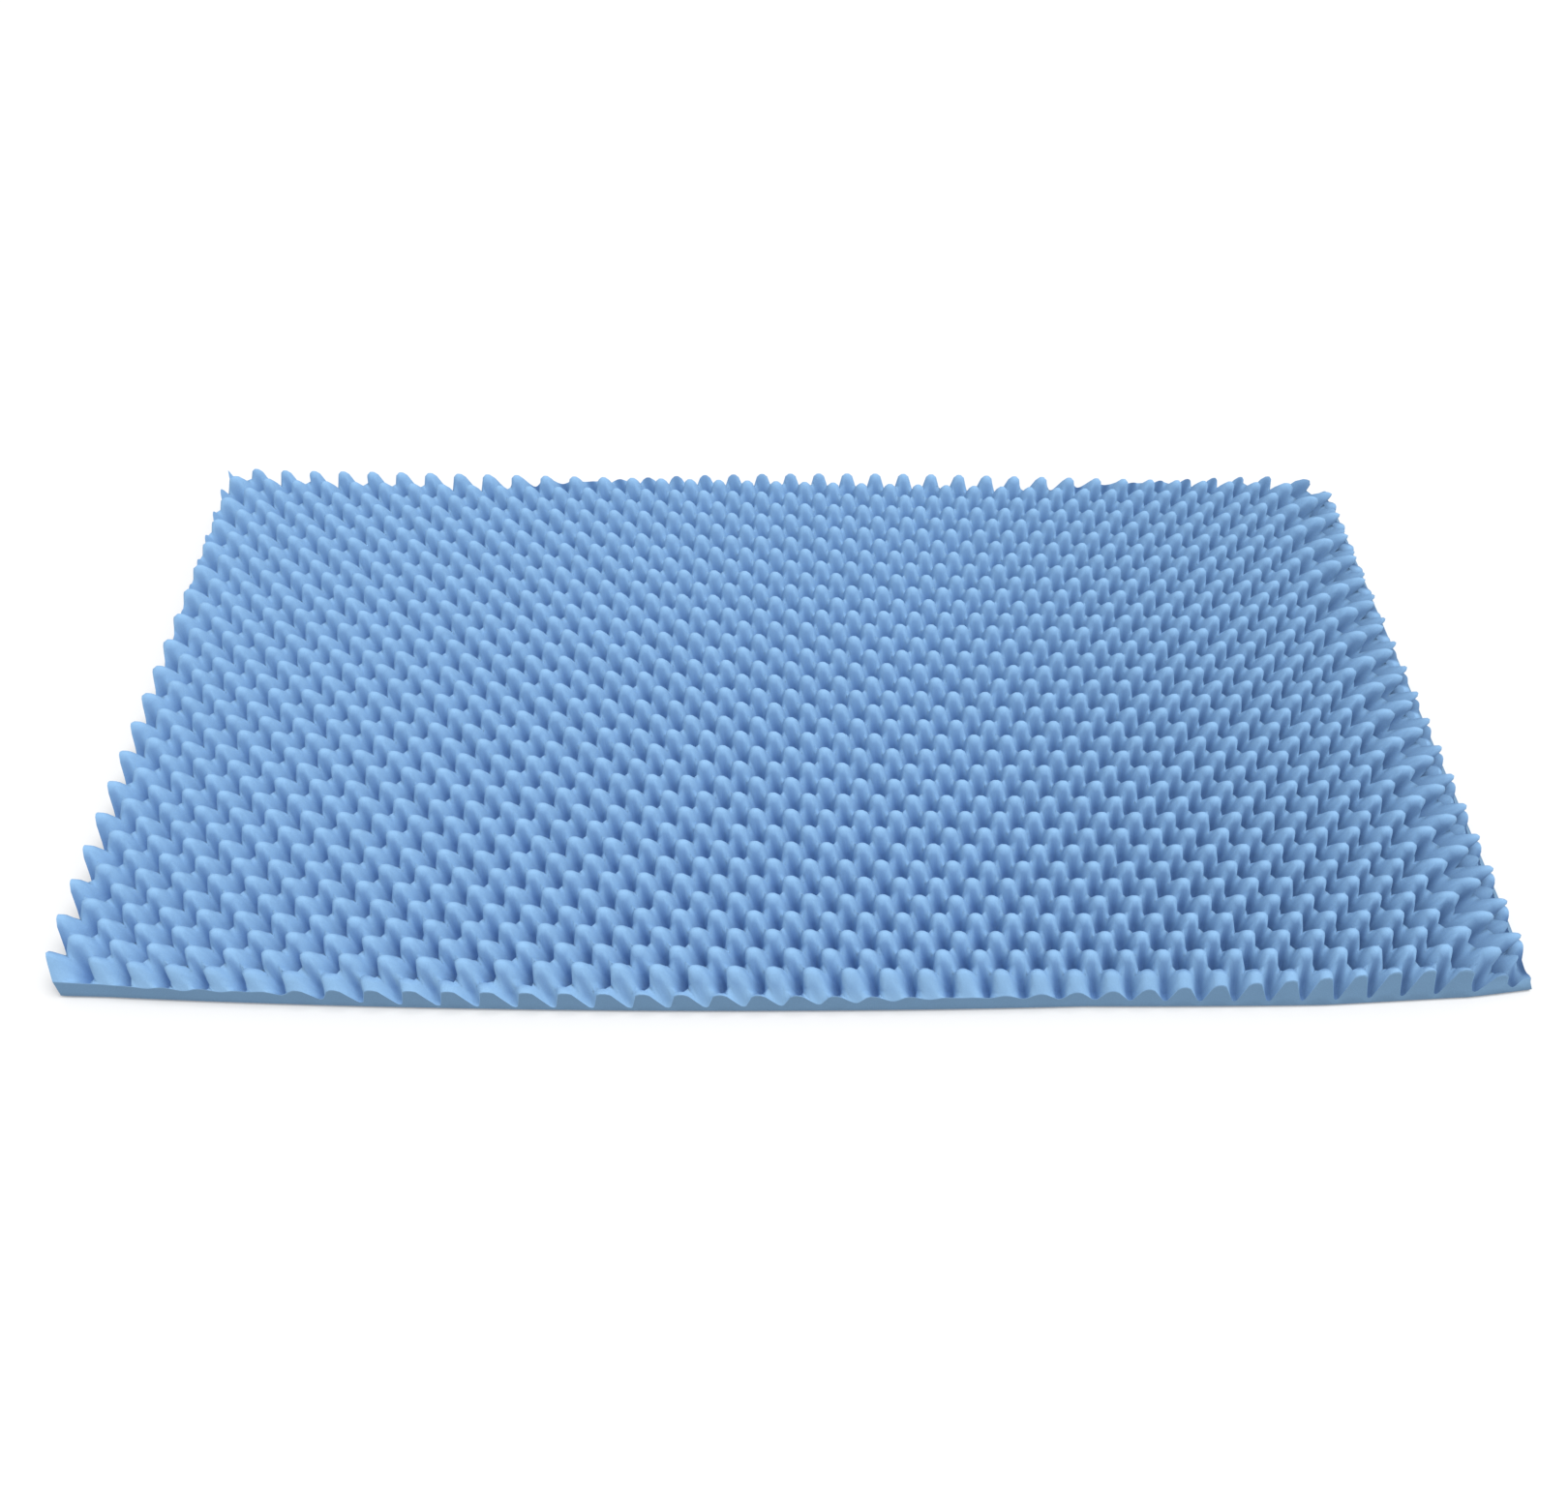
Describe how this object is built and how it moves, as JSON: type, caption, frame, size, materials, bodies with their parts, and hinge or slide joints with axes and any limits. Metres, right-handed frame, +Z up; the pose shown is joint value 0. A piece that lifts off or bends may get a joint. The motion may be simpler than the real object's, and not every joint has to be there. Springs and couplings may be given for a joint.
{
  "type": "convoluted foam mattress topper",
  "caption": "Egg-crate foam mattress topper: one flat-backed slab with an upper face of rounded peaks and wells, cut straight on all sides, lying flat.",
  "frame": {"origin": "on the flat underside, at the middle of the slab", "axes": "+X along the length, +Y across the width away from the viewer, +Z up out of the peaks"},
  "size_m": [1.905, 0.991, 0.064],
  "materials": {
    "foam": "matte open-cell foam"
  },
  "bodies": {
    "root": {"foam_slab": "foam"}
  },
  "joints": []
}
